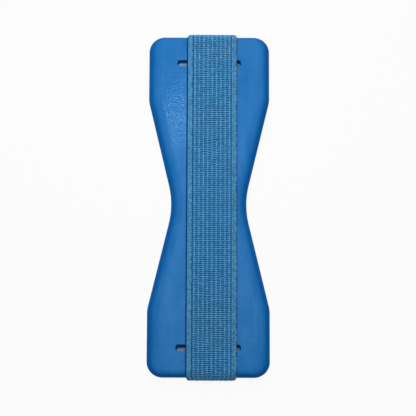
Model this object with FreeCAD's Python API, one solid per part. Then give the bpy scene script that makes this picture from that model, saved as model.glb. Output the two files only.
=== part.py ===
"""Tablet strap grip: a moulded hourglass plate, a knitted elastic strap and an adhesive foam pad.

Millimetres. The grip lies on its adhesive face: +Z is the strap side, +Y runs along the strap.
"""

import math
import os

import FreeCAD
import Part

# Elastic strap
strap_width = 20.0
strap_thickness = 1.2
strap_offset = 1.1  # the strap lies this far to +X of the middle of its slots
selvedge_width = 2.2
rib_count = 9
rib_width = 0.8
rib_height = 0.25
strap_gap = 0.05  # clearance between the strap and every plate face it follows
strap_relief = 0.25  # the strap under the plate stays this far above the adhesive face
tail_depth = 0.5  # how far the tail stops below the front of the plate

# Base plate
plate_length = 140.2
end_width = 48.4
waist_width = 30.0
waist_radius = 34.5
lobe_length = 27.2  # from the end of the plate to where the straight side meets the taper
blend_radius = 12.0
corner_radius = 6.3
flat_corner_radius = 2.6  # corners of the flat front, inside the rounded border
plate_thickness = 3.0
edge_height = 0.6  # height of the thin rim left at the foot of the rounded border
side_border = 5.0  # width of the rounded border along the sides
foot_radius = 0.4
border_turns = (90, 75, 60, 45, 30, 15, 0)  # degrees from the flat front round to the rim

# Slots for the strap
slot_side_play = 2.3  # room at each side of the strap, when it is centred
slot_slack = 0.3  # width of the slot at the back over the strap's thickness
slot_taper = 0.5  # how far each wall leans out from the back to the front, as a moulded slot needs
slot_inset = 11.45  # from the end of the plate to the middle of the slot
slot_corner_radius = 0.45
slot_lip_radius = 0.3

# Adhesive pad
pad_inset = 1.6
notch_clearance = 0.05
notch_corner_radius = 0.1

# Levels and faces that follow from the sizes above
pad_thickness = strap_relief + strap_thickness + strap_gap
plate_back = pad_thickness
plate_front = plate_back + plate_thickness
end_border = plate_thickness - edge_height  # the ends are rounded to a quarter circle
half_length = plate_length / 2
half_end = end_width / 2
taper_start = half_length - lobe_length
slot_length = strap_width + 2 * slot_side_play
slot_width = strap_thickness + slot_slack
slot_y = half_length - slot_inset
bar_inner = slot_y + slot_width / 2
foot = min(foot_radius, 0.8 * edge_height)
slot_run_out = slot_corner_radius / 2  # how far the cutting shape of a slot reaches past the plate

UP = FreeCAD.Vector(0, 0, 1)


def taper_angle():
    """Angle between the taper and the long axis, tangent to the waist arc."""
    dx = waist_width / 2 + waist_radius - half_end
    reach = math.hypot(dx, taper_start)
    return math.asin(waist_radius / reach) - math.atan2(dx, taper_start)


def side_points(inset):
    """Tangent points of one quarter of the outline, from the waist to the straight side."""
    angle = taper_angle()
    nx, ny = math.cos(angle), -math.sin(angle)
    waist_x = waist_width / 2 + waist_radius
    blend_x = half_end - blend_radius
    blend_y = taper_start + blend_radius * math.tan(angle / 2)
    waist_end = (waist_x - (waist_radius + inset) * nx, -(waist_radius + inset) * ny)
    blend_start = (blend_x + (blend_radius - inset) * nx, blend_y + (blend_radius - inset) * ny)
    blend_mid = (
        blend_x + (blend_radius - inset) * math.cos(angle / 2),
        blend_y - (blend_radius - inset) * math.sin(angle / 2),
    )
    return waist_end, blend_start, blend_mid, (half_end - inset, blend_y)


def outline(side_inset, end_inset, radius, z):
    """Closed hourglass outline, moved in by one distance at the sides and another at the ends."""
    waist_end, blend_start, blend_mid, side_start = side_points(side_inset)
    side_x = half_end - side_inset
    end_y = half_length - end_inset
    corner = radius * (1 - math.sqrt(0.5))
    quarter = [
        ("line", [waist_end, blend_start]),
        ("arc", [blend_start, blend_mid, side_start]),
        ("line", [side_start, (side_x, end_y - radius)]),
        ("arc", [(side_x, end_y - radius), (side_x - corner, end_y - corner), (side_x - radius, end_y)]),
    ]

    def place(points, sx, sy):
        return [FreeCAD.Vector(sx * x, sy * y, z) for x, y in points]

    def run(sx, sy, reverse):
        edges = []
        for kind, points in reversed(quarter) if reverse else quarter:
            p = place(reversed(points) if reverse else points, sx, sy)
            edges.append(Part.makeLine(*p) if kind == "line" else Part.Arc(*p).toShape())
        return edges

    def waist(sx):
        x, y = waist_end
        low, mid, high = place([(x, -y), (waist_width / 2 - side_inset, 0), (x, y)], sx, 1)
        return Part.Arc(low, mid, high).toShape() if sx > 0 else Part.Arc(high, mid, low).toShape()

    def end(sy):
        left, right = place([(radius - side_x, end_y), (side_x - radius, end_y)], 1, sy)
        return Part.makeLine(right, left) if sy > 0 else Part.makeLine(left, right)

    edges = run(1, -1, True) + [waist(1)] + run(1, 1, False) + [end(1)]
    edges += run(-1, 1, True) + [waist(-1)] + run(-1, -1, False) + [end(-1)]
    return Part.Wire(edges)


def prism(wire, height):
    """Straight solid on a flat wire."""
    return Part.Face(wire).extrude(UP * height)


def edges_at(shape, z, keep):
    """Edges that lie at one level and whose middle passes a test."""
    level = [e for e in shape.Edges if max(abs(e.BoundBox.ZMin - z), abs(e.BoundBox.ZMax - z)) < 1e-6]
    return [e for e in level if keep(e.BoundBox.Center)]


def rounded_rectangle(x_size, y_size, radius, z):
    """Closed rectangle with rounded corners, centred on X and Y."""
    x, y = x_size / 2 - radius, y_size / 2 - radius
    arcs = []
    for cx, cy, first in ((x, y, 0), (-x, y, 90), (-x, -y, 180), (x, -y, 270)):
        turns = [math.radians(first + step) for step in (0, 45, 90)]
        arcs.append([FreeCAD.Vector(cx + radius * math.cos(a), cy + radius * math.sin(a), z) for a in turns])
    edges = []
    for arc, following in zip(arcs, arcs[1:] + arcs[:1]):
        edges += [Part.Arc(*arc).toShape(), Part.makeLine(arc[2], following[0])]
    return Part.Wire(edges)


def slot_section(z):
    """Outline of a slot at one level: it widens from the back of the plate to the front."""
    lean = slot_taper * (z - plate_back) / plate_thickness
    return rounded_rectangle(slot_length + 2 * lean, slot_width + 2 * lean, slot_corner_radius + lean, z)


def border_section(turn):
    """Outline part of the way round the border, from the flat front down to the rim."""
    across = 1 - math.sin(math.radians(turn))
    down = end_border * (1 - math.cos(math.radians(turn)))
    radius = corner_radius + (flat_corner_radius - corner_radius) * across
    return outline(side_border * across, end_border * across, radius, plate_front - down)


def base_plate():
    """Hourglass plate with a rounded border, a thin rim and two tapered slots."""
    rim = prism(outline(0, 0, corner_radius, plate_back), edge_height)
    rim = rim.makeFillet(foot, edges_at(rim, plate_back, lambda c: True))
    crown = Part.makeLoft([border_section(t) for t in border_turns], True, False)
    plate = rim.fuse(crown)

    levels = (plate_back - slot_run_out, plate_front + slot_run_out)
    slot = Part.makeLoft([slot_section(z) for z in levels], True, True)
    for side in (-1, 1):
        plate = plate.cut(slot.translated(FreeCAD.Vector(0, side * slot_y, 0)))

    def on_slot(c):
        near = abs(abs(c.y) - slot_y) < slot_width / 2 + 2 * slot_taper
        return near and abs(c.x) < slot_length / 2 + 2 * slot_taper

    for level in (plate_front, plate_back):
        plate = plate.makeFillet(slot_lip_radius, edges_at(plate, level, on_slot))
    return plate


def strap_run(offset):
    """Strap line in the YZ plane, from one tail over the front to the other, off its inner face."""
    end_r, foot_r, lip_r = (r + strap_gap for r in (end_border, foot, slot_lip_radius))
    front = plate_front + strap_gap
    back = plate_back - strap_gap
    end_y = half_length + strap_gap
    tail_y = bar_inner - strap_gap
    tail_z = plate_front - tail_depth

    def bend(cy, cz, radius, first):
        turns = [math.radians(first + step) for step in (0, 45, 90)]
        r = radius + offset
        return [(cy + r * math.cos(a), cz + r * math.sin(a)) for a in turns]

    tail = [(tail_y - offset, tail_z)]
    bends = [
        bend(tail_y + lip_r, back + lip_r, lip_r, 180),
        bend(end_y - foot_r, back + foot_r, foot_r, 270),
        bend(end_y - end_r, front - end_r, end_r, 0),
    ]

    def point(pair, sy):
        return FreeCAD.Vector(0, sy * pair[0], pair[1])

    def half(sy):
        edges, last = [], tail[0]
        for arc in bends:
            edges.append(Part.makeLine(point(last, sy), point(arc[0], sy)))
            edges.append(Part.Arc(*[point(p, sy) for p in arc]).toShape())
            last = arc[2]
        return edges, last

    edges, last = half(1)
    other, _ = half(-1)
    edges.append(Part.makeLine(point(last, 1), point(last, -1)))
    return edges + other, point(tail[0], 1), point(tail[0], -1)


def strap_slice(x, width, thickness):
    """One lengthwise strip of the strap, following the whole run."""
    inner, inner_start, inner_end = strap_run(0)
    outer, outer_start, outer_end = strap_run(thickness)
    caps = [Part.makeLine(inner_start, outer_start), Part.makeLine(inner_end, outer_end)]
    wire = Part.Wire(Part.__sortEdges__(inner + outer + caps))
    strip = Part.Face(wire).extrude(FreeCAD.Vector(width, 0, 0))
    return strip.translated(FreeCAD.Vector(x, 0, 0))


def elastic_strap():
    """Flat band with a raised selvedge at each side and raised ribs along the outer face."""
    left = strap_offset - strap_width / 2
    field = strap_width - 2 * selvedge_width
    pitch = field / rib_count
    groove = pitch - rib_width
    thin = strap_thickness - rib_height
    strips = [strap_slice(left, selvedge_width, strap_thickness)]
    for i in range(rib_count):
        start = left + selvedge_width + i * pitch
        strips.append(strap_slice(start, groove / 2, thin))
        strips.append(strap_slice(start + groove / 2, rib_width, strap_thickness))
        strips.append(strap_slice(start + groove / 2 + rib_width, groove / 2, thin))
    strips.append(strap_slice(left + strap_width - selvedge_width, selvedge_width, strap_thickness))
    return strips[0].multiFuse(strips[1:]).removeSplitter()


def adhesive_pad():
    """Die-cut foam pad inside the outline, notched at each end so that the strap can pass."""
    pad = prism(outline(pad_inset, pad_inset, corner_radius - pad_inset, 0), pad_thickness)
    notch_end = bar_inner - strap_gap - strap_thickness - notch_clearance
    depth = half_length - notch_end + notch_corner_radius + 1
    width = strap_width + 2 * notch_clearance
    notch = prism(rounded_rectangle(width, depth, notch_corner_radius, -1), pad_thickness + 2)
    for side in (-1, 1):
        middle = side * (notch_end + depth / 2)
        pad = pad.cut(notch.translated(FreeCAD.Vector(strap_offset, middle, 0)))
    return pad


os.makedirs("parts", exist_ok=True)
pieces = {
    "base_plate": base_plate(),
    "elastic_strap": elastic_strap(),
    "adhesive_pad": adhesive_pad(),
}
for name, shape in pieces.items():
    shape.exportStep("parts/" + name + ".step")
    box = shape.BoundBox
    print(name, len(shape.Solids), "solid", shape.isValid(), round(shape.Volume, 1), "mm3", box)
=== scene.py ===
# %% [markdown]
# # A tablet strap grip
#
# The grip is a thin hourglass plate with a foam pad on its back and a knitted elastic strap over its
# front. Its solids are already built at their real size, so this lesson only dresses them: it gives
# the plate its moulded grain, knits the strap yarn by yarn, cuts the foam, and lights the whole as a
# product picture. All lengths are in metres, in the frame of the solids.

# %% Load the solids
import math

import bmesh
import bpy
from mathutils import Matrix, Vector


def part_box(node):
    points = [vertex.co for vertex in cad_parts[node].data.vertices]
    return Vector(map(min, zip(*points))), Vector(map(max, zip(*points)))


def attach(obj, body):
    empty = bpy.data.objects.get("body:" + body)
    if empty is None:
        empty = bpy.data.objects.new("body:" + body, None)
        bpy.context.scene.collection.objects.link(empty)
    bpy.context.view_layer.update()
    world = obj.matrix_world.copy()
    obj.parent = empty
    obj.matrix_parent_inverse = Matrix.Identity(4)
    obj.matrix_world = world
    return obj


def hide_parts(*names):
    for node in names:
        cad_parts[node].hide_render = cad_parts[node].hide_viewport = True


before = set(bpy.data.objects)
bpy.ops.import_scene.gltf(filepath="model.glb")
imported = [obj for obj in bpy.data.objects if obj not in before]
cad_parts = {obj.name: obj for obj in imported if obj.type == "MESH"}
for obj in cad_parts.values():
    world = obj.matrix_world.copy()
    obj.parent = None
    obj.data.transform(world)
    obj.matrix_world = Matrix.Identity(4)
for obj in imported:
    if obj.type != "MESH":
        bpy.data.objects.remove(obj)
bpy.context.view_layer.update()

plate_low, plate_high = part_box("base_plate")
strap_low, strap_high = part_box("elastic_strap")
pad_low, pad_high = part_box("adhesive_pad")

# %% [markdown]
# ## The camera
#
# The picture looks down on the grip from its near end, a little over a metre away with a long lens,
# so that the far end is only a few percent smaller than the near one. The camera is placed by its
# tilt from straight down, and then slid sideways in its own plane until the grip sits in the frame
# where the picture has it. Sliding the camera keeps its lens shift at zero, so that the same camera
# can be walked round the object for other views.

# %% Place the camera
MM = 0.001
camera_tilt = math.radians(14.9)
camera_roll = math.radians(0.21)
camera_distance = 0.999
camera_aim = Vector((0.0, 0.0, 0.004))
aim_right = -0.29 * MM
aim_up = -1.76 * MM
lens_mm = 217.15

back = Vector((0.0, -math.sin(camera_tilt), math.cos(camera_tilt)))
up = Vector((0.0, math.cos(camera_tilt), math.sin(camera_tilt)))
right = Vector((1.0, 0.0, 0.0))
turn = Matrix((right, up, back)).transposed() @ Matrix.Rotation(camera_roll, 3, "Z")
camera = bpy.data.objects.new("camera", bpy.data.cameras.new("camera"))
camera.data.lens = lens_mm
camera.data.sensor_width = 36.0
camera.data.clip_start = 0.05
camera.data.clip_end = 20.0
camera.location = camera_aim + right * aim_right + up * aim_up + back * camera_distance
camera.rotation_mode = "QUATERNION"
camera.rotation_quaternion = turn.to_quaternion()
bpy.context.scene.collection.objects.link(camera)
bpy.context.scene.camera = camera
print("camera height, mm:", round(1000 * camera.location.z))

# %% [markdown]
# ## Helpers for materials and node trees
#
# A material here is a short list of nodes and links. Two helpers keep that list readable: one makes
# a node and sets its values, the other joins an output to an input. Patterns read Object coordinates,
# so they stay on the piece whichever way the camera goes.

# %% Make nodes and links
def add_node(tree, kind, **values):
    """A node of one kind; capital names set its inputs, small names its own settings."""
    node = tree.nodes.new(kind)
    for name, value in values.items():
        if name[0].isupper():
            node.inputs[name.replace("_", " ")].default_value = value
        else:
            setattr(node, name, value)
    return node


def join(tree, source, output, target, socket):
    """Links one node's output to another's input, each given by name or by number."""
    tree.links.new(source.outputs[output], target.inputs[socket])


def start_material(name, base, roughness, **values):
    """A material with its Principled shader set to values that hold all over the surface."""
    material = bpy.data.materials.new(name)
    material.use_nodes = True
    tree = material.node_tree
    shader = tree.nodes["Principled BSDF"]
    shader.inputs["Base Color"].default_value = (*base, 1.0)
    shader.inputs["Roughness"].default_value = roughness
    for socket, value in values.items():
        shader.inputs[socket.replace("_", " ")].default_value = value
    material.diffuse_color = (*base, 1.0)
    place = add_node(tree, "ShaderNodeTexCoord")
    return material, tree, shader, place


def add_colour(tree, shader, field, output, dark, light):
    """Spreads the base colour between two shades by a field from 0 to 1."""
    ramp = add_node(tree, "ShaderNodeValToRGB")
    ramp.color_ramp.elements[0].color = (*dark, 1.0)
    ramp.color_ramp.elements[1].color = (*light, 1.0)
    join(tree, field, output, ramp, "Fac")
    join(tree, ramp, "Color", shader, "Base Color")
    return ramp


def add_bump(tree, shader, field, output, depth, strength, under=None):
    """Raises the surface by a field, on top of another bump where one is given."""
    bump = add_node(tree, "ShaderNodeBump", Strength=strength, Distance=depth)
    join(tree, field, output, bump, "Height")
    if under is not None:
        join(tree, under, "Normal", bump, "Normal")
    join(tree, bump, "Normal", shader, "Normal")
    return bump


print("materials of the solids:", sorted(material.name for material in bpy.data.materials))

# %% [markdown]
# ## The plate's colour
#
# The plate is moulded in blue plastic. The solid already has the right shape, so it keeps its mesh and
# only its material slot changes. The border is coloured a deeper blue than the front. That is painted
# shade for its slopes, which turn away from the lamps, and the front's lighter blue is partly painted
# sheen. The colour follows the height of the surface to lay them. A painted mask could do the same, but
# the height is always at hand and needs no unwrapping. A faint stretched haze of painted sheen lightens
# the front in patches.

# %% Colour the plate
plate_blue = (0.012, 0.161, 0.468)
# Painted shade: the border's deeper blue stands in for the shade on its sloping sides.
border_painted_shade_blue = (0.001, 0.109, 0.380)
# Painted sheen: a faint bluish lightening in stretched patches on the front stands in for the soft box's
# sheen.
painted_sheen_blue = (0.018, 0.030, 0.044, 1.0)
border_fall = 0.9 * MM
cloud_scale = 45.0
cloud_share = 0.25
colour_range = (0.1, 0.9)
painted_sheen_stretch = (170.0, 70.0, 0.0)
painted_sheen_range = (0.3, 0.7)


def nearness_to_front(tree, place, fall, interpolation):
    """1 on the flat front of the plate, 0 at a given depth below it."""
    level = add_node(tree, "ShaderNodeSeparateXYZ")
    near = add_node(
        tree, "ShaderNodeMapRange", interpolation_type=interpolation,
        From_Min=plate_high.z - fall, From_Max=plate_high.z,
    )
    join(tree, place, "Object", level, 0)
    join(tree, level, "Z", near, "Value")
    return near


def colour_plate(tree, shader, place):
    """Painted shade on the border, a lighter front, and painted sheen in patches on the front."""
    front = nearness_to_front(tree, place, border_fall, "SMOOTHSTEP")
    broad = add_node(tree, "ShaderNodeTexNoise", Scale=cloud_scale, Detail=3.0, Roughness=0.6)
    both = add_node(tree, "ShaderNodeMix", data_type="FLOAT")
    both.inputs[0].default_value = cloud_share
    join(tree, place, "Object", broad, "Vector")
    join(tree, front, "Result", both, 2)
    join(tree, broad, "Fac", both, 3)
    # Painted shade: the ramp runs by height from the border's deeper blue to the front's blue.
    ramp = add_colour(tree, shader, both, 0, border_painted_shade_blue, plate_blue)
    for element, position in zip(ramp.color_ramp.elements, colour_range):
        element.position = position

    # Painted sheen: stretched patches of a bluish lightening are added to the front's colour.
    stretch = add_node(tree, "ShaderNodeMapping", Scale=painted_sheen_stretch)
    cloud = add_node(tree, "ShaderNodeTexNoise", Scale=1.0, Detail=2.0, Roughness=0.6)
    sheen_patches = add_node(tree, "ShaderNodeMapRange", From_Min=painted_sheen_range[0], From_Max=painted_sheen_range[1])
    amount = add_node(tree, "ShaderNodeMath", operation="MULTIPLY")
    lighten = add_node(tree, "ShaderNodeMix", data_type="RGBA", blend_type="ADD")
    lighten.inputs[7].default_value = painted_sheen_blue
    join(tree, place, "Object", stretch, "Vector")
    join(tree, stretch, "Vector", cloud, "Vector")
    join(tree, cloud, "Fac", sheen_patches, "Value")
    join(tree, sheen_patches, "Result", amount, 0)
    join(tree, front, "Result", amount, 1)
    join(tree, amount, 0, lighten, 0)
    join(tree, ramp, "Color", lighten, 6)
    join(tree, lighten, 2, shader, "Base Color")


print("plate colours, border and front:", border_painted_shade_blue, plate_blue)

# %% [markdown]
# ## The plate's grain
#
# A fine spark-eroded grain breaks the sheen into speckles. Two sizes of noise make it: one that tilts
# the surface by a grain at a time, so that a small lamp glints on some grains and not on others, and a
# finer one for the tooth. It could be modelled, but grains of half a millimetre would need millions of
# faces. The roughness follows the grain, and off the flat front the surface is rougher, so that the
# rounded edges carry no sharp glints. The gloss itself is weak, bluish and the same all over. Mouldings
# also cool with a slight crown, too low to model, which keeps the sheen in one patch; a bump that falls
# off with the square of the distance stands for it.

# %% Grain the plate
sheen_blue = (0.34, 0.70, 1.0, 1.0)
gloss_level = 0.09
flat_fall = 0.06 * MM
border_roughness = 0.5
plain_roughness = 0.12
grain_roughness = (0.135, 0.19)
grain_range = (0.35, 0.65)
grain_scale = 1600.0
grain_depth = 0.053 * MM
tooth_scale = 2600.0
tooth_depth = 0.02 * MM
tooth_strength = 0.15
crown_across = 1.0
crown_along = 0.3


def grain_plate(tree, shader, place):
    """Moulded grain: a roughness that follows it, and its relief on a low crown."""
    grain = add_node(tree, "ShaderNodeTexNoise", Scale=grain_scale, Detail=0.0)
    tooth = add_node(tree, "ShaderNodeTexVoronoi", Scale=tooth_scale)
    for field in (grain, tooth):
        join(tree, place, "Object", field, "Vector")
    sheen = add_node(
        tree, "ShaderNodeMapRange", From_Min=grain_range[0], From_Max=grain_range[1],
        To_Min=grain_roughness[0], To_Max=grain_roughness[1],
    )
    flat = nearness_to_front(tree, place, flat_fall, "LINEAR")
    gloss = add_node(tree, "ShaderNodeMix", data_type="FLOAT")
    gloss.inputs[2].default_value = border_roughness
    join(tree, grain, "Fac", sheen, "Value")
    join(tree, flat, "Result", gloss, 0)
    join(tree, sheen, "Result", gloss, 3)
    join(tree, gloss, 0, shader, "Roughness")

    flatten = add_node(tree, "ShaderNodeMapping", Scale=(crown_across, crown_along, 0.0))
    square = add_node(tree, "ShaderNodeVectorMath", operation="DOT_PRODUCT")
    join(tree, place, "Object", flatten, "Vector")
    join(tree, flatten, "Vector", square, 0)
    join(tree, flatten, "Vector", square, 1)
    crown = add_bump(tree, shader, square, "Value", 1.0, 1.0)
    crown.invert = True
    coarse = add_bump(tree, shader, grain, "Fac", grain_depth, 1.0, crown)
    add_bump(tree, shader, tooth, "Distance", tooth_depth, tooth_strength, coarse)


def moulded_plastic():
    """Satin blue plastic with a fine moulded grain."""
    material, tree, shader, place = start_material(
        "moulded_blue_plastic", plate_blue, plain_roughness,
        Specular_IOR_Level=gloss_level, Specular_Tint=sheen_blue,
    )
    colour_plate(tree, shader, place)
    grain_plate(tree, shader, place)
    return material


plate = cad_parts["base_plate"]
plate.material_slots[0].material = moulded_plastic()
print("plate grain on", len(plate.data.polygons), "faces")

# %% [markdown]
# ## The line that the strap follows
#
# The strap runs tail to tail: up out of one slot's underside, under the end bar, round the rounded
# end of the plate, along the front, and back the same way at the other end. Every yarn follows this
# line at its own height above the strap's inner face, so one function gives the line for any height.
# Straight runs join quarter arcs, as in the solid that it stands for. The slots widen from the back of
# the plate to its front, so the line is set off from a slot's width at the back. A stretched strap also
# narrows where it is pulled over an edge, so a second function gives the share of its width that is left.

# %% Work out the strap's line
strap_gap = 0.05 * MM
rim_height = 0.6 * MM
foot_radius = 0.4 * MM
lip_radius = 0.3 * MM
slot_inset = 11.45 * MM
slot_width = 1.5 * MM
tail_depth = 0.5 * MM
strap_width = strap_high.x - strap_low.x
strap_middle = (strap_low.x + strap_high.x) / 2
corner_round = 1.3 * MM
ARC_STEPS = 12


def strap_line(height):
    """Points (y, z) of the strap's run, at a height above its inner face, from tail to tail."""
    end_radius = plate_high.z - plate_low.z - rim_height + strap_gap
    foot = foot_radius + strap_gap
    lip = lip_radius + strap_gap
    front = plate_high.z + strap_gap
    under = plate_low.z - strap_gap
    end_y = plate_high.y + strap_gap
    tail_y = plate_high.y - slot_inset + slot_width / 2 - strap_gap
    half = [(tail_y - height, plate_high.z - tail_depth)]
    bends = (
        (tail_y + lip, under + lip, lip, 180),
        (end_y - foot, under + foot, foot, 270),
        (end_y - end_radius, front - end_radius, end_radius, 0),
    )
    for y, z, radius, first in bends:
        for step in range(ARC_STEPS + 1):
            angle = math.radians(first + 90 * step / ARC_STEPS)
            reach = radius + height
            half.append((y + reach * math.cos(angle), z + reach * math.sin(angle)))
    return [(-y, z) for y, z in half] + half[::-1]


def drawn_in(y, height):
    """Share of the strap's width left at y: it draws in to a round corner over the plate's ends."""
    reach = plate_high.y + strap_gap + height
    into = min(max((abs(y) - reach + corner_round) / corner_round, 0.0), 1.0)
    return 1 - corner_round * (1 - math.sqrt(1 - into * into)) / (strap_width / 2)


print("strap width, mm:", round(1000 * strap_width, 1))

# %% [markdown]
# ## The strap's ground
#
# Behind the knitted face lies a dense ground of rubber threads and backing yarn. It shows only as
# the dark dots between the yarns, but it closes the strap and gives it its body; its darker blue is
# partly painted shade for the depth between the loops. It is a band with rounded sides, lofted ring
# by ring along the line. On the front it spreads by a tenth of a millimetre, and below it keeps inside
# the notch of the pad. The sides have a darker material of their own, which is painted shade: the
# knitted face has slid a little to the right on its ground, so at the left the bare side shows as a
# dark line, coloured as the shadow along the strap's edge.

# %% Loft the ground of the strap
ground_thickness = 0.72 * MM
ground_margin = 0.02 * MM
ground_spread = 0.12 * MM
ground_weld = 1e-7
SIDE_STEPS = 6


def ring_profile(half_width, thickness):
    """Cross-section of a flat band with round sides, as (across, height) pairs."""
    radius = thickness / 2
    ring = []
    for side in (1, -1):
        for step in range(SIDE_STEPS + 1):
            angle = math.pi * step / SIDE_STEPS - math.pi / 2
            across = half_width - radius + radius * math.cos(angle)
            ring.append((side * across, radius + side * radius * math.sin(angle)))
    return ring


def ground_reach(z):
    """Half the ground's width: it spreads a little on the front, and fits the pad's notch below."""
    return strap_width / 2 + (ground_spread if z > plate_high.z else -ground_margin)


def loft_band(name, profile, flat_material, side_shade_material):
    """Closed band through one ring of points at each station of the strap's line."""
    lines = {height: strap_line(height) for height in {h for _, h in profile}}
    count = len(next(iter(lines.values())))
    mesh = bmesh.new()
    rings = []
    for station in range(count):
        ring = []
        for x, height in profile:
            y, z = lines[height][station]
            share = drawn_in(y, height) * ground_reach(z) / (strap_width / 2)
            ring.append(mesh.verts.new((strap_middle + x * share, y, z)))
        rings.append(ring)
    for first, second in zip(rings, rings[1:]):
        for i in range(len(profile)):
            j = (i + 1) % len(profile)
            mesh.faces.new((first[i], first[j], second[j], second[i]))
    mesh.faces.new(rings[0])
    mesh.faces.new(rings[-1])
    bmesh.ops.remove_doubles(mesh, verts=mesh.verts, dist=ground_weld)
    bmesh.ops.recalc_face_normals(mesh, faces=mesh.faces)
    data = bpy.data.meshes.new(name)
    mesh.to_mesh(data)
    mesh.free()
    data.materials.append(flat_material)
    data.materials.append(side_shade_material)
    flat_half = max(x for x, _ in profile) - ground_thickness / 2
    for face in data.polygons:
        face.use_smooth = len(face.vertices) == 4
        face.material_index = int(abs(face.center.x - strap_middle) > flat_half and face.use_smooth)
    band = bpy.data.objects.new(name, data)
    bpy.context.scene.collection.objects.link(band)
    return band


# Partly painted shade: the ground is darker than the yarn and stands in for the depth between the loops.
ground_and_shade_blues = ((0.003, 0.080, 0.215), (0.010, 0.132, 0.328))
# Painted shade: the sides are coloured darker to stand for the shadow along the strap's left edge.
side_shade_blues = ((0.001, 0.026, 0.105), (0.002, 0.046, 0.170))
streak_stretch = (2400.0, 260.0, 2400.0)
streak_depth = 0.08 * MM
streak_strength = 0.5


def ground_material(name, dark, light):
    """Blue backing of rubber and filler yarn, with a soft lengthwise streak."""
    material, tree, shader, place = start_material(
        name, light, roughness=0.9, Specular_IOR_Level=0.15
    )
    stretch = add_node(tree, "ShaderNodeMapping", Scale=streak_stretch)
    streak = add_node(tree, "ShaderNodeTexNoise", Scale=1.0, Detail=3.0)
    join(tree, place, "Object", stretch, "Vector")
    join(tree, stretch, "Vector", streak, "Vector")
    add_colour(tree, shader, streak, "Fac", dark, light)
    add_bump(tree, shader, streak, "Fac", streak_depth, streak_strength)
    return material


ground = loft_band(
    "strap_ground", ring_profile(strap_width / 2, ground_thickness),
    ground_material("strap_ground", *ground_and_shade_blues),
    # Painted shade on the ground's sides.
    ground_material("strap_ground_painted_shade", *side_shade_blues),
)
print("strap ground faces:", len(ground.data.polygons))

# %% [markdown]
# ## Yarn
#
# The yarn is textured polyester, so it is matt with a soft sheen and never one even blue. Each loop
# carries a random number in an attribute named shade, which the knitting below stores, and the
# material turns it into a slightly lighter or darker loop. A broad noise adds patches along the strap,
# and a very fine one the filaments. The loops of the ribs differ most in shade, because each is pulled
# to its own tension. The cross yarns behind them are more even and a little bluer.

# %% Make the yarn's material
face_blues = ((0.052, 0.232, 0.436), (0.126, 0.459, 0.782))
outer_blues = ((0.042, 0.223, 0.445), (0.104, 0.440, 0.830))
cross_blues = ((0.050, 0.265, 0.520), (0.094, 0.417, 0.795))
edge_blues = ((0.034, 0.175, 0.352), (0.103, 0.374, 0.675))
patch_scale = 420.0
fibre_scale = 9000.0
fibre_depth = 0.02 * MM
fibre_strength = 0.5


def yarn_material(name, dark, light, patch_share):
    """Matt blue yarn that differs in shade from loop to loop, and in patches along it."""
    material, tree, shader, place = start_material(
        name, light, roughness=0.8,
        Specular_IOR_Level=0.25, Sheen_Weight=0.12, Sheen_Roughness=0.5,
    )
    shade = add_node(tree, "ShaderNodeAttribute", attribute_name="shade")
    patch = add_node(tree, "ShaderNodeTexNoise", Scale=patch_scale, Detail=3.0)
    fibre = add_node(tree, "ShaderNodeTexNoise", Scale=fibre_scale, Detail=2.0)
    join(tree, place, "Object", patch, "Vector")
    join(tree, place, "Object", fibre, "Vector")
    both = add_node(tree, "ShaderNodeMix", data_type="FLOAT")
    both.inputs[0].default_value = patch_share
    join(tree, shade, "Fac", both, 2)
    join(tree, patch, "Fac", both, 3)
    add_colour(tree, shader, both, 0, dark, light)
    add_bump(tree, shader, fibre, "Fac", fibre_depth, fibre_strength)
    return material


face_yarn = yarn_material("face_yarn", *face_blues, patch_share=0.15)
outer_yarn = yarn_material("outer_yarn", *outer_blues, patch_share=0.3)
cross_yarn = yarn_material("cross_yarn", *cross_blues, patch_share=0.6)
edge_yarn = yarn_material("edge_yarn", *edge_blues, patch_share=0.15)
print("yarns:", [yarn.name for yarn in (face_yarn, outer_yarn, cross_yarn, edge_yarn)])

# %% [markdown]
# ## Knitting with Geometry Nodes
#
# The strap's face is crochet-knit: columns of interlocked loops run along it, and a cross yarn lies
# behind them in every row. Both repeat hundreds of times along one line, which is what Geometry
# Nodes are for. The tree below walks the line in steps of one row, makes a point for each column,
# and puts a loop of two bowed strands on each point, turned to follow the line. No elastic is knitted
# quite evenly, so a noise then lets the rows drift a little along the line. A strand by strand model
# would also be possible by hand, but it could not be re-knitted at another gauge by changing one input.

# %% Start a tree and add sums to it
def start_tree(name, inputs):
    """An empty geometry tree with named inputs, as (name, socket kind) pairs."""
    tree = bpy.data.node_groups.new(name, "GeometryNodeTree")
    tree.interface.new_socket("Geometry", in_out="INPUT", socket_type="NodeSocketGeometry")
    for label, kind in inputs:
        tree.interface.new_socket(label, in_out="INPUT", socket_type=kind)
    tree.interface.new_socket("Geometry", in_out="OUTPUT", socket_type="NodeSocketGeometry")
    return tree, tree.nodes.new("NodeGroupInput"), tree.nodes.new("NodeGroupOutput")


def maths(tree, operation, first, second=None):
    """A Math node on two sources, each a number or a (node, output) pair; gives such a pair."""
    node = add_node(tree, "ShaderNodeMath", operation=operation)
    for i, source in enumerate((first, second)):
        if isinstance(source, tuple):
            join(tree, *source, node, i)
        elif source is not None:
            node.inputs[i].default_value = source
    return node, 0


def combine(tree, x, y, z):
    """A vector from three sources, each a number or a (node, output) pair; gives such a pair."""
    node = add_node(tree, "ShaderNodeCombineXYZ")
    for i, source in enumerate((x, y, z)):
        if isinstance(source, tuple):
            join(tree, *source, node, i)
        else:
            node.inputs[i].default_value = source
    return node, 0


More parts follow.
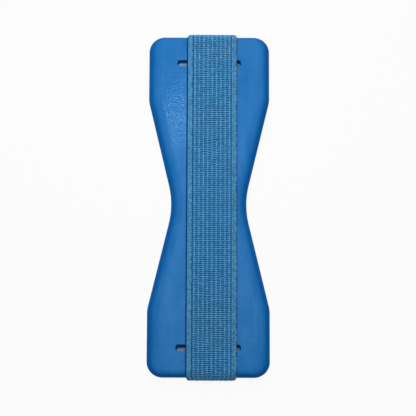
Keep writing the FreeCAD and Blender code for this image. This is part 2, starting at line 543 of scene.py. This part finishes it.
# %% Walk the line row by row
def rows_on_line(tree, given):
    """Points along the line, one to a row, with the line's turn about X stored on each."""
    line = add_node(tree, "GeometryNodeMeshToCurve")
    rows = add_node(tree, "GeometryNodeCurveToPoints", mode="LENGTH")
    join(tree, given, "Geometry", line, "Mesh")
    join(tree, line, "Curve", rows, "Curve")
    join(tree, given, "Row Pitch", rows, "Length")
    along = add_node(tree, "ShaderNodeSeparateXYZ")
    join(tree, rows, "Tangent", along, 0)
    store = add_node(
        tree, "GeometryNodeStoreNamedAttribute", data_type="FLOAT", domain="POINT", Name="turn"
    )
    join(tree, rows, "Points", store, "Geometry")
    join(tree, *maths(tree, "ARCTAN2", (along, "Z"), (along, "Y")), store, "Value")
    return store, "Geometry"


# %% Set a shape on every point
drift_scale = 330.0


def set_and_finish(tree, given, done, points, shape, scale):
    """Puts a shape on each point, turned with the line, shades it and makes it real."""
    turned = add_node(tree, "GeometryNodeInputNamedAttribute", data_type="FLOAT", Name="turn")
    copies = add_node(tree, "GeometryNodeInstanceOnPoints")
    join(tree, *points, copies, "Points")
    join(tree, *shape, copies, "Instance")
    join(tree, *combine(tree, (turned, "Attribute"), 0.0, 0.0), copies, "Rotation")
    join(tree, *scale, copies, "Scale")
    shade = add_node(tree, "FunctionNodeRandomValue", data_type="FLOAT")
    join(tree, given, "Seed", shade, "Seed")
    store = add_node(
        tree, "GeometryNodeStoreNamedAttribute", data_type="FLOAT", domain="INSTANCE", Name="shade"
    )
    join(tree, copies, "Instances", store, "Geometry")
    join(tree, shade, 1, store, "Value")
    real = add_node(tree, "GeometryNodeRealizeInstances")
    smooth = add_node(tree, "GeometryNodeSetShadeSmooth")
    paint = add_node(tree, "GeometryNodeSetMaterial")
    join(tree, store, "Geometry", real, "Geometry")
    uneven = add_node(tree, "ShaderNodeTexNoise", Scale=drift_scale, Detail=2.0)
    shift = maths(tree, "MULTIPLY", maths(tree, "SUBTRACT", (uneven, "Fac"), 0.5), (given, "Drift"))
    y = maths(tree, "MULTIPLY", maths(tree, "COSINE", (turned, "Attribute")), shift)
    z = maths(tree, "MULTIPLY", maths(tree, "SINE", (turned, "Attribute")), shift)
    drift = add_node(tree, "GeometryNodeSetPosition")
    join(tree, real, "Geometry", drift, "Geometry")
    join(tree, *combine(tree, 0.0, y, z), drift, "Offset")
    join(tree, drift, "Geometry", smooth, "Geometry")
    join(tree, smooth, "Geometry", paint, "Geometry")
    join(tree, given, "Material", paint, "Material")
    join(tree, paint, "Geometry", done, "Geometry")


# %% Run a tree along the strap
face_shift = 0.12 * MM
row_drift = 1.0 * MM


def knit(name, tree, height, **inputs):
    """Runs a knitting tree on the strap's line at one height and keeps the result as a plain mesh."""
    points = [(strap_middle + face_shift, y, z) for y, z in strap_line(height)]
    data = bpy.data.meshes.new(name + "_line")
    data.from_pydata(points, [(i, i + 1) for i in range(len(points) - 1)], [])
    share = data.attributes.new("share", "FLOAT", "POINT")
    share.data.foreach_set("value", [drawn_in(y, height) for _, y, _ in points])
    carrier = bpy.data.objects.new(name + "_line", data)
    bpy.context.scene.collection.objects.link(carrier)
    modifier = carrier.modifiers.new("knit", "NODES")
    modifier.node_group = tree
    sockets = {item.name: item.identifier for item in tree.interface.items_tree if item.in_out == "INPUT"}
    for label, value in {"Drift": row_drift, **inputs}.items():
        modifier[sockets[label.replace("_", " ")]] = value
    graph = bpy.context.evaluated_depsgraph_get()
    made = bpy.data.meshes.new_from_object(carrier.evaluated_get(graph))
    bpy.data.objects.remove(carrier)
    piece = bpy.data.objects.new(name, made)
    bpy.context.scene.collection.objects.link(piece)
    made.calc_loop_triangles()
    print(name, "triangles:", len(made.loop_triangles))
    return piece


print("face lies to the right of its ground by, mm:", round(1000 * face_shift, 2))
print("rows drift along the strap by up to, mm:", round(500 * row_drift, 2))

# %% Build the tree for columns of loops
yarn_sides = 5
strand_steps = 4
loop_sizes = ((0.92, 0.97, 0.9), (1.08, 1.03, 1.1))


def loop_columns_tree():
    """Columns of interlocked loops, each loop two strands that bow apart and dip at their ends."""
    tree, given, done = start_tree(
        "loop_columns",
        [
            ("Row Pitch", "NodeSocketFloat"),
            ("Columns", "NodeSocketInt"),
            ("First Column", "NodeSocketFloat"),
            ("Column Pitch", "NodeSocketFloat"),
            ("Loop Width", "NodeSocketFloat"),
            ("Loop Length", "NodeSocketFloat"),
            ("Rise", "NodeSocketFloat"),
            ("Crown", "NodeSocketFloat"),
            ("Yarn Radius", "NodeSocketFloat"),
            ("Unevenness", "NodeSocketFloat"),
            ("Drift", "NodeSocketFloat"),
            ("Seed", "NodeSocketInt"),
            ("Material", "NodeSocketMaterial"),
        ],
    )
    rows = rows_on_line(tree, given)
    spread = add_node(tree, "GeometryNodeDuplicateElements", domain="POINT")
    join(tree, *rows, spread, "Geometry")
    join(tree, given, "Columns", spread, "Amount")
    step = maths(tree, "MULTIPLY", (spread, "Duplicate Index"), (given, "Column Pitch"))
    across = maths(tree, "ADD", step, (given, "First Column"))
    wander = add_node(tree, "FunctionNodeRandomValue", data_type="FLOAT")
    wander.inputs[2].default_value = -1.0
    wander.inputs[3].default_value = 1.0
    join(tree, given, "Seed", wander, "Seed")
    room = maths(tree, "MULTIPLY", (given, "Unevenness"), (given, "Loop Width"))
    stray = maths(tree, "MULTIPLY", (wander, 1), room)
    share = add_node(tree, "GeometryNodeInputNamedAttribute", data_type="FLOAT", Name="share")
    x = maths(tree, "MULTIPLY", maths(tree, "ADD", across, stray), (share, "Attribute"))
    last = maths(tree, "SUBTRACT", (given, "Columns"), 1.0)
    middle = maths(tree, "MULTIPLY", last, 0.5)
    from_middle = maths(tree, "SUBTRACT", (spread, "Duplicate Index"), middle)
    out = maths(tree, "DIVIDE", maths(tree, "MULTIPLY", from_middle, 2.0), last)
    drop = maths(tree, "MULTIPLY", maths(tree, "MULTIPLY", out, out), (given, "Crown"))
    turned = add_node(tree, "GeometryNodeInputNamedAttribute", data_type="FLOAT", Name="turn")
    y = maths(tree, "MULTIPLY", maths(tree, "SINE", (turned, "Attribute")), drop)
    up_share = maths(tree, "MULTIPLY", maths(tree, "COSINE", (turned, "Attribute")), -1.0)
    z = maths(tree, "MULTIPLY", up_share, drop)
    move = add_node(tree, "GeometryNodeSetPosition")
    join(tree, spread, "Geometry", move, "Geometry")
    join(tree, *combine(tree, x, y, z), move, "Offset")

    tube = add_node(tree, "GeometryNodeCurvePrimitiveCircle", mode="RADIUS", Resolution=yarn_sides)
    join(tree, given, "Yarn Radius", tube, "Radius")
    reach = maths(tree, "MULTIPLY", (given, "Loop Length"), 0.5)
    both = add_node(tree, "GeometryNodeJoinGeometry")
    for side in (1.0, -1.0):
        strand = add_node(tree, "GeometryNodeCurveQuadraticBezier", Resolution=strand_steps)
        sideways = maths(tree, "MULTIPLY", (given, "Loop Width"), side)
        upwards = maths(tree, "MULTIPLY", (given, "Rise"), 2.0)
        bow = combine(tree, sideways, 0.0, upwards)
        join(tree, *combine(tree, 0.0, maths(tree, "MULTIPLY", reach, -1.0), 0.0), strand, "Start")
        join(tree, *bow, strand, "Middle")
        join(tree, *combine(tree, 0.0, reach, 0.0), strand, "End")
        sweep = add_node(tree, "GeometryNodeCurveToMesh", Fill_Caps=True)
        join(tree, strand, "Curve", sweep, "Curve")
        join(tree, tube, "Curve", sweep, "Profile Curve")
        join(tree, sweep, "Mesh", both, "Geometry")
    size = add_node(tree, "FunctionNodeRandomValue", data_type="FLOAT_VECTOR")
    size.inputs[0].default_value, size.inputs[1].default_value = loop_sizes
    join(tree, given, "Seed", size, "Seed")
    set_and_finish(tree, given, done, (move, "Geometry"), (both, "Geometry"), (size, 0))
    return tree


loops = loop_columns_tree()
print("nodes in the tree for loops:", len(loops.nodes))

# %% [markdown]
# ## Face columns and selvedges
#
# Nine open columns make the ribs of the strap's face, with a gap between neighbours. The loops of the
# inner seven are hardly longer than a row, so the rows show across them. The outermost two have longer
# loops and stand a little higher, so they are knitted on their own. At each side a selvedge of fine
# columns lies so close that it reads as a smooth border, parted from the ribs by a narrow groove. The
# same tree knits all of them: only its gauge changes.

# %% Knit the ribs
row_pitch = 0.82 * MM
rib_count = 9
inner_count = rib_count - 2
selvedge_width = 2.2 * MM
rib_pitch = (strap_width - 2 * selvedge_width) / rib_count
outer_reach = (rib_count - 1) / 2 * rib_pitch
rib_height = 0.76 * MM
rib_length = 1.05 * row_pitch
outer_length = 1.45 * row_pitch

ribs = knit(
    "strap_ribs", loops, rib_height,
    Row_Pitch=row_pitch, Columns=inner_count, First_Column=-(inner_count - 1) / 2 * rib_pitch,
    Column_Pitch=rib_pitch, Loop_Width=0.38 * MM, Loop_Length=rib_length, Rise=0.25 * MM,
    Crown=0.0, Yarn_Radius=0.125 * MM, Unevenness=0.22, Seed=3, Material=face_yarn,
)
outer_ribs = knit(
    "strap_outer_ribs", loops, rib_height,
    Row_Pitch=row_pitch, Columns=2, First_Column=-outer_reach, Column_Pitch=2 * outer_reach,
    Loop_Width=0.42 * MM, Loop_Length=outer_length, Rise=0.28 * MM,
    Crown=0.0, Yarn_Radius=0.14 * MM, Unevenness=0.06, Seed=9, Material=outer_yarn,
)

# %% Knit the selvedges
selvedge_columns = 3
selvedge_height = 0.78 * MM
selvedge_edge = 0.38 * MM
bare_left = 0.36 * MM
left_pitch = 0.54 * MM
right_pitch = 0.66 * MM
left_first = -strap_width / 2 - face_shift + bare_left + selvedge_edge
right_first = strap_width / 2 - face_shift - selvedge_edge - (selvedge_columns - 1) * right_pitch


def knit_selvedge(side, first, pitch, rows, seed):
    """Fine columns at one side of the strap; rows is their pitch as a share of the face's."""
    return knit(
        "strap_selvedge_" + side, loops, selvedge_height,
        Row_Pitch=row_pitch * rows, Columns=selvedge_columns, First_Column=first,
        Column_Pitch=pitch, Loop_Width=0.36 * MM, Loop_Length=1.2 * row_pitch, Rise=0.20 * MM,
        Crown=0.06 * MM, Yarn_Radius=0.17 * MM, Unevenness=0.2, Seed=seed, Material=edge_yarn,
    )


selvedges = [
    knit_selvedge("left", left_first, left_pitch, rows=0.45, seed=5),
    knit_selvedge("right", right_first, right_pitch, rows=0.52, seed=7),
]

# %% [markdown]
# ## Cross yarns
#
# One cross yarn lies in every row, behind the loops, from the first rib to the last. Between the ribs
# it rises into view like a rung, and the gaps from rung to rung show as rows of dark dots. The yarn is
# a line bent by a cosine at the pitch of the ribs, made once and set on every row.

# %% Build and run the tree for cross yarns
rung_sizes = ((1.0, 0.9, 0.9), (1.0, 1.1, 1.1))


def cross_yarns_tree():
    """One wavy yarn across the strap in each row."""
    tree, given, done = start_tree(
        "cross_yarns",
        [
            ("Row Pitch", "NodeSocketFloat"),
            ("Width", "NodeSocketFloat"),
            ("Wave Pitch", "NodeSocketFloat"),
            ("Wave Height", "NodeSocketFloat"),
            ("Yarn Radius", "NodeSocketFloat"),
            ("Steps", "NodeSocketInt"),
            ("Drift", "NodeSocketFloat"),
            ("Seed", "NodeSocketInt"),
            ("Material", "NodeSocketMaterial"),
        ],
    )
    rows = rows_on_line(tree, given)
    half = maths(tree, "MULTIPLY", (given, "Width"), 0.5)
    straight = add_node(tree, "GeometryNodeCurvePrimitiveLine")
    join(tree, *combine(tree, maths(tree, "MULTIPLY", half, -1.0), 0.0, 0.0), straight, "Start")
    join(tree, *combine(tree, half, 0.0, 0.0), straight, "End")
    steps = add_node(tree, "GeometryNodeResampleCurve")
    join(tree, straight, "Curve", steps, "Curve")
    join(tree, given, "Steps", steps, "Count")
    place = add_node(tree, "GeometryNodeInputPosition")
    parts = add_node(tree, "ShaderNodeSeparateXYZ")
    join(tree, place, "Position", parts, 0)
    phase = maths(tree, "DIVIDE", (parts, "X"), (given, "Wave Pitch"))
    wave = maths(tree, "COSINE", maths(tree, "MULTIPLY", phase, 2 * math.pi))
    lift = maths(tree, "MULTIPLY", wave, maths(tree, "MULTIPLY", (given, "Wave Height"), -1.0))
    bend = add_node(tree, "GeometryNodeSetPosition")
    join(tree, steps, "Curve", bend, "Geometry")
    join(tree, *combine(tree, 0.0, 0.0, lift), bend, "Offset")
    tube = add_node(tree, "GeometryNodeCurvePrimitiveCircle", mode="RADIUS", Resolution=yarn_sides)
    join(tree, given, "Yarn Radius", tube, "Radius")
    sweep = add_node(tree, "GeometryNodeCurveToMesh", Fill_Caps=True)
    join(tree, bend, "Geometry", sweep, "Curve")
    join(tree, tube, "Curve", sweep, "Profile Curve")
    size = add_node(tree, "FunctionNodeRandomValue", data_type="FLOAT_VECTOR")
    size.inputs[0].default_value, size.inputs[1].default_value = rung_sizes
    join(tree, given, "Seed", size, "Seed")
    share = add_node(tree, "GeometryNodeInputNamedAttribute", data_type="FLOAT", Name="share")
    narrow = combine(tree, (share, "Attribute"), 1.0, 1.0)
    scale = add_node(tree, "ShaderNodeVectorMath", operation="MULTIPLY")
    join(tree, size, 0, scale, 0)
    join(tree, *narrow, scale, 1)
    set_and_finish(tree, given, done, rows, (sweep, "Mesh"), (scale, "Vector"))
    return tree


cross_height = 0.89 * MM
cross_overhang = 1.3 * MM
cross = knit(
    "strap_cross_yarns", cross_yarns_tree(), cross_height,
    Row_Pitch=row_pitch, Width=2 * outer_reach + cross_overhang, Wave_Pitch=rib_pitch,
    Wave_Height=0.10 * MM, Yarn_Radius=0.21 * MM, Steps=57, Seed=11, Material=cross_yarn,
)

# %% [markdown]
# ## The foam pad
#
# The pad is die-cut from double-sided foam tape: a soft pale foam between two thin films of
# adhesive. Its outline and notches come from a copy of its solid, merged and freed of inner edges.
# The walls are then cut into bands, and the foam's bands are drawn in a little and roughened, as a
# knife leaves them, while the two films keep the full outline.

# %% Cut the foam pad
film_thickness = 0.10 * MM
foam_inset = 0.10 * MM
pad_weld = 1e-6
pad_blue = (0.20, 0.34, 0.50)
foam_blues = ((0.16, 0.30, 0.45), (0.24, 0.38, 0.55))
film_blues = ((0.15, 0.28, 0.43), (0.26, 0.40, 0.57))
film_roughness = (0.28, 0.50)
foam_cloud_scale = 120.0
cell_scale = 3800.0
cell_depth = 0.05 * MM
cell_strength = 0.6
mottle_scale = 700.0
mottle_depth = 0.03 * MM
mottle_strength = 0.4
nearly_flat = 0.9


def foam_material():
    """Pale closed-cell foam with open pores where the knife has cut it."""
    material, tree, shader, place = start_material("pad_foam", pad_blue, roughness=0.75)
    cells = add_node(tree, "ShaderNodeTexVoronoi", Scale=cell_scale)
    cloud = add_node(tree, "ShaderNodeTexNoise", Scale=foam_cloud_scale, Detail=4.0)
    join(tree, place, "Object", cells, "Vector")
    join(tree, place, "Object", cloud, "Vector")
    add_colour(tree, shader, cloud, "Fac", *foam_blues)
    add_bump(tree, shader, cells, "Distance", cell_depth, cell_strength)
    return material


def film_material():
    """Clear tacky film over the foam, a little glossy and faintly mottled."""
    material, tree, shader, place = start_material(
        "pad_film", pad_blue, roughness=0.35, Specular_IOR_Level=0.3
    )
    mottle = add_node(tree, "ShaderNodeTexNoise", Scale=mottle_scale, Detail=4.0, Roughness=0.6)
    join(tree, place, "Object", mottle, "Vector")
    add_colour(tree, shader, mottle, "Fac", *film_blues)
    gloss = add_node(
        tree, "ShaderNodeMapRange", From_Min=0.3, From_Max=0.7,
        To_Min=film_roughness[0], To_Max=film_roughness[1],
    )
    join(tree, mottle, "Fac", gloss, "Value")
    join(tree, gloss, "Result", shader, "Roughness")
    add_bump(tree, shader, mottle, "Fac", mottle_depth, mottle_strength)
    return material


def foam_pad():
    """The pad's outline with two full films and a foam core drawn in between them."""
    mesh = bmesh.new()
    mesh.from_mesh(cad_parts["adhesive_pad"].data)
    bmesh.ops.remove_doubles(mesh, verts=mesh.verts, dist=pad_weld)
    bmesh.ops.dissolve_limit(mesh, angle_limit=math.radians(1), verts=mesh.verts, edges=mesh.edges)
    levels = [pad_low.z + film_thickness, (pad_low.z + pad_high.z) / 2, pad_high.z - film_thickness]
    for level in levels:
        everything = mesh.verts[:] + mesh.edges[:] + mesh.faces[:]
        bmesh.ops.bisect_plane(mesh, geom=everything, plane_co=(0, 0, level), plane_no=(0, 0, 1))
    mesh.normal_update()
    for vert in mesh.verts:
        if abs(vert.co.z - levels[1]) < pad_weld:
            outward = Vector((vert.normal.x, vert.normal.y, 0.0)).normalized()
            vert.co -= outward * foam_inset
    data = bpy.data.meshes.new("foam_pad")
    mesh.to_mesh(data)
    mesh.free()
    data.materials.append(foam_material())
    data.materials.append(film_material())
    for face in data.polygons:
        face.material_index = int(abs(face.normal.z) > nearly_flat)
    pad = bpy.data.objects.new("foam_pad", data)
    bpy.context.scene.collection.objects.link(pad)
    return pad


pad = foam_pad()
print("foam pad faces:", len(pad.data.polygons))

# %% [markdown]
# ## Floor, backdrop and light
#
# The picture is a plain product shot: a white ground, a soft box overhead, a little to the left, and
# a second lamp low beyond the far end, which shades the rows of the knit and the near edge. The soft
# box gives the even sheen, and a small lamp close above the plate the speckled glint on its left.
# None of the lamps shows itself to the camera.
#
# The floor is a plain pale surface. Seen by the camera it is mixed towards white, so the ground
# reads as white paper but the grip's own shadow still shows on it. The world does the same beyond
# the floor's edge.

# %% Lay the floor
floor_reach = 3.0
floor_white_share = 0.92
floor_level = -0.05 * MM
floor_grey = (0.72, 0.72, 0.72, 1.0)
floor_roughness = 0.9


def seen_directly(tree):
    """1 for rays that show the background itself: camera, glossy and transmission rays."""
    path = add_node(tree, "ShaderNodeLightPath")
    first = maths(tree, "MAXIMUM", (path, "Is Camera Ray"), (path, "Is Glossy Ray"))
    return maths(tree, "MAXIMUM", first, (path, "Is Transmission Ray"))


def lay_floor():
    """A wide pale floor under the grip."""
    data = bpy.data.meshes.new("floor")
    r = floor_reach
    corners = [(-r, -r, floor_level), (r, -r, floor_level), (r, r, floor_level), (-r, r, floor_level)]
    data.from_pydata(corners, [], [(0, 1, 2, 3)])
    material = bpy.data.materials.new("floor_paper")
    material.use_nodes = True
    tree = material.node_tree
    shader = tree.nodes["Principled BSDF"]
    shader.inputs["Base Color"].default_value = floor_grey
    shader.inputs["Roughness"].default_value = floor_roughness
    white = add_node(tree, "ShaderNodeEmission", Strength=1.0)
    blend = add_node(tree, "ShaderNodeMixShader")
    join(tree, *maths(tree, "MULTIPLY", seen_directly(tree), floor_white_share), blend, 0)
    join(tree, shader, "BSDF", blend, 1)
    join(tree, white, "Emission", blend, 2)
    join(tree, blend, "Shader", tree.nodes["Material Output"], "Surface")
    data.materials.append(material)
    floor = bpy.data.objects.new("floor", data)
    bpy.context.scene.collection.objects.link(floor)
    return floor


lay_floor()
print("floor lies below the grip, mm:", round(-1000 * floor_level, 2))

# %% Hang the lamps and light the room
lamp_target = camera_aim
room_low = 0.06
room_high = 0.50


def hang_lamp(name, place, width, depth, power):
    """A soft rectangular lamp at a place, facing the grip."""
    lamp = bpy.data.lights.new(name, "AREA")
    lamp.shape = "RECTANGLE"
    lamp.size = width
    lamp.size_y = depth
    lamp.energy = power
    hung = bpy.data.objects.new(name, lamp)
    hung.location = place
    hung.rotation_mode = "QUATERNION"
    hung.rotation_quaternion = (lamp_target - Vector(place)).to_track_quat("-Z", "Y")
    hung.visible_camera = False
    bpy.context.scene.collection.objects.link(hung)
    return hung


def light_world():
    """A dim room, lighter overhead than at its sides, and white where the background is seen."""
    world = bpy.data.worlds.new("studio")
    bpy.context.scene.world = world
    world.use_nodes = True
    tree = world.node_tree
    room = tree.nodes["Background"]
    room.inputs["Color"].default_value = (1.0, 1.0, 1.0, 1.0)
    place = add_node(tree, "ShaderNodeTexCoord")
    parts = add_node(tree, "ShaderNodeSeparateXYZ")
    fade = add_node(tree, "ShaderNodeMapRange", To_Min=room_low, To_Max=room_high)
    join(tree, place, "Generated", parts, 0)
    join(tree, parts, "Z", fade, "Value")
    join(tree, fade, "Result", room, "Strength")
    white = add_node(tree, "ShaderNodeBackground", Strength=1.0)
    blend = add_node(tree, "ShaderNodeMixShader")
    join(tree, *seen_directly(tree), blend, 0)
    join(tree, room, "Background", blend, 1)
    join(tree, white, "Background", blend, 2)
    join(tree, blend, "Shader", tree.nodes["World Output"], "Surface")


lamps = [
    hang_lamp("soft_box", (-0.02, 0.14, 0.58), width=0.30, depth=0.19, power=1.10),
    hang_lamp("glint_lamp", (-0.0168, 0.0703, 0.1145), width=0.005, depth=0.005, power=0.0235),
    hang_lamp("far_lamp", (-0.05, 0.50, 0.35), width=0.30, depth=0.20, power=1.0),
]
light_world()
bpy.context.scene.view_settings.view_transform = "Standard"
print("lamps, W:", {lamp.name: round(lamp.data.energy, 4) for lamp in lamps})

# %% [markdown]
# ## Joining the pieces to the grip
#
# Nothing on the grip turns or slides, so every piece rides on its one body. The knitted strap
# replaces the plain solid of the strap, and the cut foam replaces the pad's solid.

# %% Ride and replace
yarns = [ribs, outer_ribs, *selvedges, cross]
for piece in (ground, pad, *yarns):
    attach(piece, "root")
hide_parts("elastic_strap")
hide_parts("adhesive_pad")
